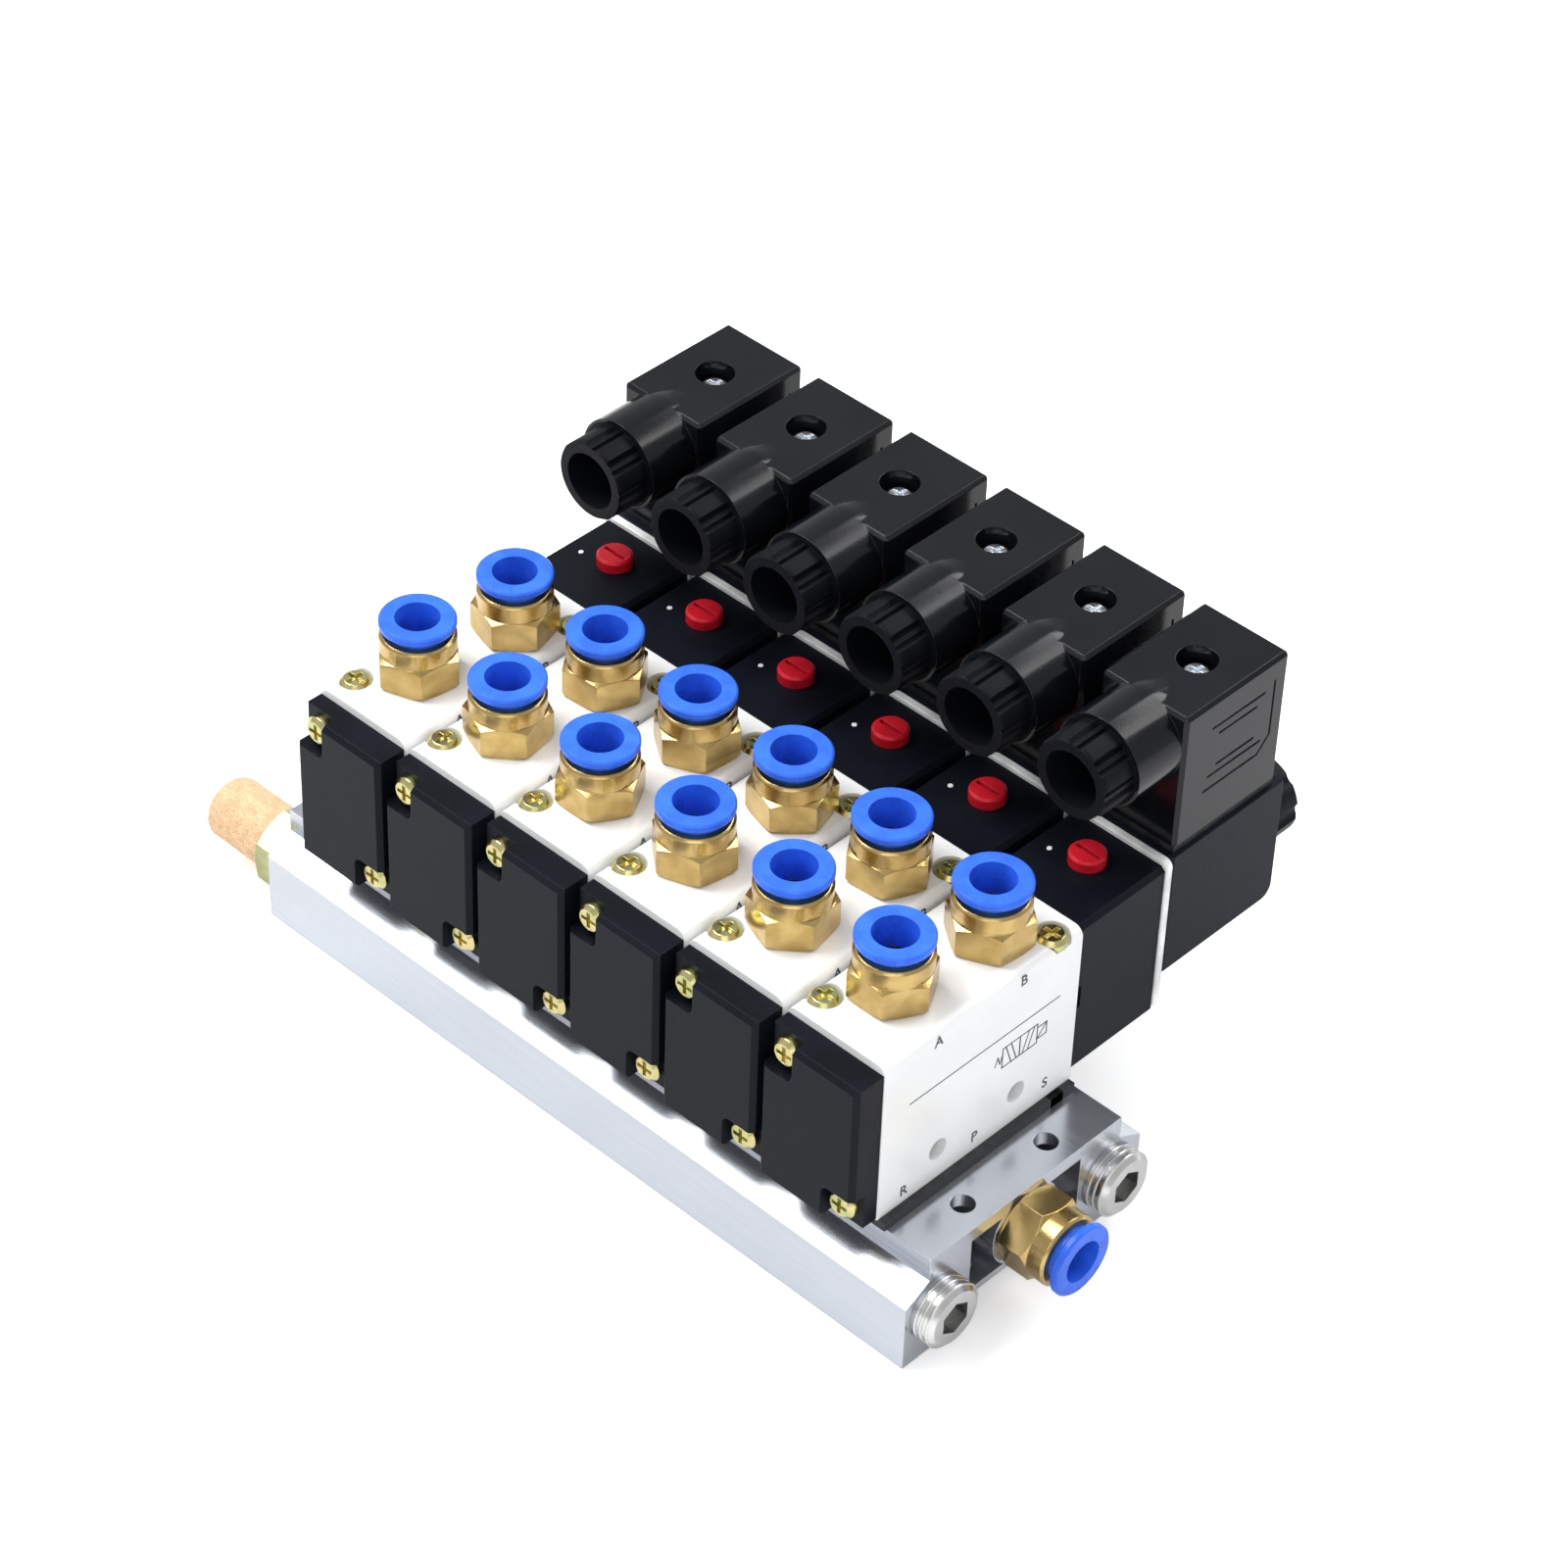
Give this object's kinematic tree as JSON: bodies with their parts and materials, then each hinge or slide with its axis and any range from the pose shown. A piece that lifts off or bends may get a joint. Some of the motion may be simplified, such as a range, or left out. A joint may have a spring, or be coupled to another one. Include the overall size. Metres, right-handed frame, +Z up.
{
  "type": "pneumatic valve island",
  "caption": "Row of solenoid valves side by side on a shared aluminium manifold, with push-in tube fittings on top, plug connectors at the back and exhaust silencers at one end.",
  "frame": {"origin": "middle of the manifold's underside, midway between the four mounting holes", "axes": "+X along the manifold from the silencers to the supply fitting, +Y along each valve from its end cap to its coil, +Z up"},
  "size_m": [0.1936, 0.1179, 0.09],
  "materials": {
    "aluminium": "satin drawn extrusion",
    "black_rubber": "matte",
    "black_plastic": "fine moulded grain",
    "zinc_steel": "yellow zinc plate",
    "white_plastic": "satin",
    "plain_steel": "turned",
    "coil_resin": "fine grain",
    "connector_plastic": "fine grain",
    "bright_steel": "bright zinc plate",
    "nickel_plate": "nickel plate",
    "bronze": "sintered grain",
    "brass": "turned and tumbled",
    "white_paint": "satin enamel",
    "spool_aluminium": "ground",
    "red_plastic": "satin",
    "blue_plastic": "satin"
  },
  "bodies": {
    "island": {"manifold": "aluminium", "base_gaskets": "black_rubber", "end_caps": "black_plastic", "cap_screws": "zinc_steel", "valve_screws": "zinc_steel", "pilot_housings": "black_plastic", "pilot_plates": "white_plastic", "core_tubes": "plain_steel", "coils": "coil_resin", "coil_nuts": "black_plastic", "connector_gaskets": "black_rubber", "connector_housings": "connector_plastic", "connector_screws": "bright_steel", "gland_nuts": "connector_plastic", "port_plugs": "nickel_plate", "silencers": "bronze", "fitting_bodies": "brass", "valve_body_1": "white_paint", "valve_body_2": "white_paint", "valve_body_3": "white_paint", "valve_body_4": "white_paint", "valve_body_5": "white_paint", "valve_body_6": "white_paint"},
    "spool_1": {"spool_1": "spool_aluminium"},
    "armature_1": {"armature_1": "plain_steel"},
    "override_pin_1": {"override_pin_1": "plain_steel"},
    "override_button_1": {"override_button_1": "red_plastic"},
    "spool_2": {"spool_2": "spool_aluminium"},
    "armature_2": {"armature_2": "plain_steel"},
    "override_pin_2": {"override_pin_2": "plain_steel"},
    "override_button_2": {"override_button_2": "red_plastic"},
    "spool_3": {"spool_3": "spool_aluminium"},
    "armature_3": {"armature_3": "plain_steel"},
    "override_pin_3": {"override_pin_3": "plain_steel"},
    "override_button_3": {"override_button_3": "red_plastic"},
    "spool_4": {"spool_4": "spool_aluminium"},
    "armature_4": {"armature_4": "plain_steel"},
    "override_pin_4": {"override_pin_4": "plain_steel"},
    "override_button_4": {"override_button_4": "red_plastic"},
    "spool_5": {"spool_5": "spool_aluminium"},
    "armature_5": {"armature_5": "plain_steel"},
    "override_pin_5": {"override_pin_5": "plain_steel"},
    "override_button_5": {"override_button_5": "red_plastic"},
    "spool_6": {"spool_6": "spool_aluminium"},
    "armature_6": {"armature_6": "plain_steel"},
    "override_pin_6": {"override_pin_6": "plain_steel"},
    "override_button_6": {"override_button_6": "red_plastic"},
    "release_ring_a1": {"release_ring_a1": "blue_plastic"},
    "release_ring_b1": {"release_ring_b1": "blue_plastic"},
    "release_ring_a2": {"release_ring_a2": "blue_plastic"},
    "release_ring_b2": {"release_ring_b2": "blue_plastic"},
    "release_ring_a3": {"release_ring_a3": "blue_plastic"},
    "release_ring_b3": {"release_ring_b3": "blue_plastic"},
    "release_ring_a4": {"release_ring_a4": "blue_plastic"},
    "release_ring_b4": {"release_ring_b4": "blue_plastic"},
    "release_ring_a5": {"release_ring_a5": "blue_plastic"},
    "release_ring_b5": {"release_ring_b5": "blue_plastic"},
    "release_ring_a6": {"release_ring_a6": "blue_plastic"},
    "release_ring_b6": {"release_ring_b6": "blue_plastic"},
    "release_ring_supply": {"release_ring_supply": "blue_plastic"}
  },
  "joints": [
    {"name": "spool_1_shift", "type": "slide", "parent": "island", "child": "spool_1", "axis": [0, -1, 0], "range_m": [0, 0.003], "stiffness_N_per_m": 400, "springref_m": -0.002},
    {"name": "armature_1_pull", "type": "slide", "parent": "island", "child": "armature_1", "axis": [0, 1, 0], "range_m": [0, 0.001], "stiffness_N_per_m": 300, "springref_m": -0.002},
    {"name": "override_1_press", "type": "slide", "parent": "island", "child": "override_pin_1", "axis": [0, 0, -1], "range_m": [0, 0.0018], "stiffness_N_per_m": 300, "springref_m": -0.002},
    {"name": "override_1_turn", "type": "hinge", "parent": "override_pin_1", "child": "override_button_1", "pos_m": [-0.0575, 0.037, 0.057], "axis": [0, 0, -1], "range_deg": [0, 90]},
    {"name": "spool_2_shift", "type": "slide", "parent": "island", "child": "spool_2", "axis": [0, -1, 0], "range_m": [0, 0.003], "stiffness_N_per_m": 400, "springref_m": -0.002},
    {"name": "armature_2_pull", "type": "slide", "parent": "island", "child": "armature_2", "axis": [0, 1, 0], "range_m": [0, 0.001], "stiffness_N_per_m": 300, "springref_m": -0.002},
    {"name": "override_2_press", "type": "slide", "parent": "island", "child": "override_pin_2", "axis": [0, 0, -1], "range_m": [0, 0.0018], "stiffness_N_per_m": 300, "springref_m": -0.002},
    {"name": "override_2_turn", "type": "hinge", "parent": "override_pin_2", "child": "override_button_2", "pos_m": [-0.0345, 0.037, 0.057], "axis": [0, 0, -1], "range_deg": [0, 90]},
    {"name": "spool_3_shift", "type": "slide", "parent": "island", "child": "spool_3", "axis": [0, -1, 0], "range_m": [0, 0.003], "stiffness_N_per_m": 400, "springref_m": -0.002},
    {"name": "armature_3_pull", "type": "slide", "parent": "island", "child": "armature_3", "axis": [0, 1, 0], "range_m": [0, 0.001], "stiffness_N_per_m": 300, "springref_m": -0.002},
    {"name": "override_3_press", "type": "slide", "parent": "island", "child": "override_pin_3", "axis": [0, 0, -1], "range_m": [0, 0.0018], "stiffness_N_per_m": 300, "springref_m": -0.002},
    {"name": "override_3_turn", "type": "hinge", "parent": "override_pin_3", "child": "override_button_3", "pos_m": [-0.0115, 0.037, 0.057], "axis": [0, 0, -1], "range_deg": [0, 90]},
    {"name": "spool_4_shift", "type": "slide", "parent": "island", "child": "spool_4", "axis": [0, -1, 0], "range_m": [0, 0.003], "stiffness_N_per_m": 400, "springref_m": -0.002},
    {"name": "armature_4_pull", "type": "slide", "parent": "island", "child": "armature_4", "axis": [0, 1, 0], "range_m": [0, 0.001], "stiffness_N_per_m": 300, "springref_m": -0.002},
    {"name": "override_4_press", "type": "slide", "parent": "island", "child": "override_pin_4", "axis": [0, 0, -1], "range_m": [0, 0.0018], "stiffness_N_per_m": 300, "springref_m": -0.002},
    {"name": "override_4_turn", "type": "hinge", "parent": "override_pin_4", "child": "override_button_4", "pos_m": [0.0115, 0.037, 0.057], "axis": [0, 0, -1], "range_deg": [0, 90]},
    {"name": "spool_5_shift", "type": "slide", "parent": "island", "child": "spool_5", "axis": [0, -1, 0], "range_m": [0, 0.003], "stiffness_N_per_m": 400, "springref_m": -0.002},
    {"name": "armature_5_pull", "type": "slide", "parent": "island", "child": "armature_5", "axis": [0, 1, 0], "range_m": [0, 0.001], "stiffness_N_per_m": 300, "springref_m": -0.002},
    {"name": "override_5_press", "type": "slide", "parent": "island", "child": "override_pin_5", "axis": [0, 0, -1], "range_m": [0, 0.0018], "stiffness_N_per_m": 300, "springref_m": -0.002},
    {"name": "override_5_turn", "type": "hinge", "parent": "override_pin_5", "child": "override_button_5", "pos_m": [0.0345, 0.037, 0.057], "axis": [0, 0, -1], "range_deg": [0, 90]},
    {"name": "spool_6_shift", "type": "slide", "parent": "island", "child": "spool_6", "axis": [0, -1, 0], "range_m": [0, 0.003], "stiffness_N_per_m": 400, "springref_m": -0.002},
    {"name": "armature_6_pull", "type": "slide", "parent": "island", "child": "armature_6", "axis": [0, 1, 0], "range_m": [0, 0.001], "stiffness_N_per_m": 300, "springref_m": -0.002},
    {"name": "override_6_press", "type": "slide", "parent": "island", "child": "override_pin_6", "axis": [0, 0, -1], "range_m": [0, 0.0018], "stiffness_N_per_m": 300, "springref_m": -0.002},
    {"name": "override_6_turn", "type": "hinge", "parent": "override_pin_6", "child": "override_button_6", "pos_m": [0.0575, 0.037, 0.057], "axis": [0, 0, -1], "range_deg": [0, 90]},
    {"name": "release_ring_a1_press", "type": "slide", "parent": "island", "child": "release_ring_a1", "axis": [0, 0, -1], "range_m": [0, 0.0012], "stiffness_N_per_m": 300, "springref_m": -0.001},
    {"name": "release_ring_b1_press", "type": "slide", "parent": "island", "child": "release_ring_b1", "axis": [0, 0, -1], "range_m": [0, 0.0012], "stiffness_N_per_m": 300, "springref_m": -0.001},
    {"name": "release_ring_a2_press", "type": "slide", "parent": "island", "child": "release_ring_a2", "axis": [0, 0, -1], "range_m": [0, 0.0012], "stiffness_N_per_m": 300, "springref_m": -0.001},
    {"name": "release_ring_b2_press", "type": "slide", "parent": "island", "child": "release_ring_b2", "axis": [0, 0, -1], "range_m": [0, 0.0012], "stiffness_N_per_m": 300, "springref_m": -0.001},
    {"name": "release_ring_a3_press", "type": "slide", "parent": "island", "child": "release_ring_a3", "axis": [0, 0, -1], "range_m": [0, 0.0012], "stiffness_N_per_m": 300, "springref_m": -0.001},
    {"name": "release_ring_b3_press", "type": "slide", "parent": "island", "child": "release_ring_b3", "axis": [0, 0, -1], "range_m": [0, 0.0012], "stiffness_N_per_m": 300, "springref_m": -0.001},
    {"name": "release_ring_a4_press", "type": "slide", "parent": "island", "child": "release_ring_a4", "axis": [0, 0, -1], "range_m": [0, 0.0012], "stiffness_N_per_m": 300, "springref_m": -0.001},
    {"name": "release_ring_b4_press", "type": "slide", "parent": "island", "child": "release_ring_b4", "axis": [0, 0, -1], "range_m": [0, 0.0012], "stiffness_N_per_m": 300, "springref_m": -0.001},
    {"name": "release_ring_a5_press", "type": "slide", "parent": "island", "child": "release_ring_a5", "axis": [0, 0, -1], "range_m": [0, 0.0012], "stiffness_N_per_m": 300, "springref_m": -0.001},
    {"name": "release_ring_b5_press", "type": "slide", "parent": "island", "child": "release_ring_b5", "axis": [0, 0, -1], "range_m": [0, 0.0012], "stiffness_N_per_m": 300, "springref_m": -0.001},
    {"name": "release_ring_a6_press", "type": "slide", "parent": "island", "child": "release_ring_a6", "axis": [0, 0, -1], "range_m": [0, 0.0012], "stiffness_N_per_m": 300, "springref_m": -0.001},
    {"name": "release_ring_b6_press", "type": "slide", "parent": "island", "child": "release_ring_b6", "axis": [0, 0, -1], "range_m": [0, 0.0012], "stiffness_N_per_m": 300, "springref_m": -0.001},
    {"name": "release_ring_supply_press", "type": "slide", "parent": "island", "child": "release_ring_supply", "axis": [-1, 0, 0], "range_m": [0, 0.0012], "stiffness_N_per_m": 300, "springref_m": -0.001}
  ]
}
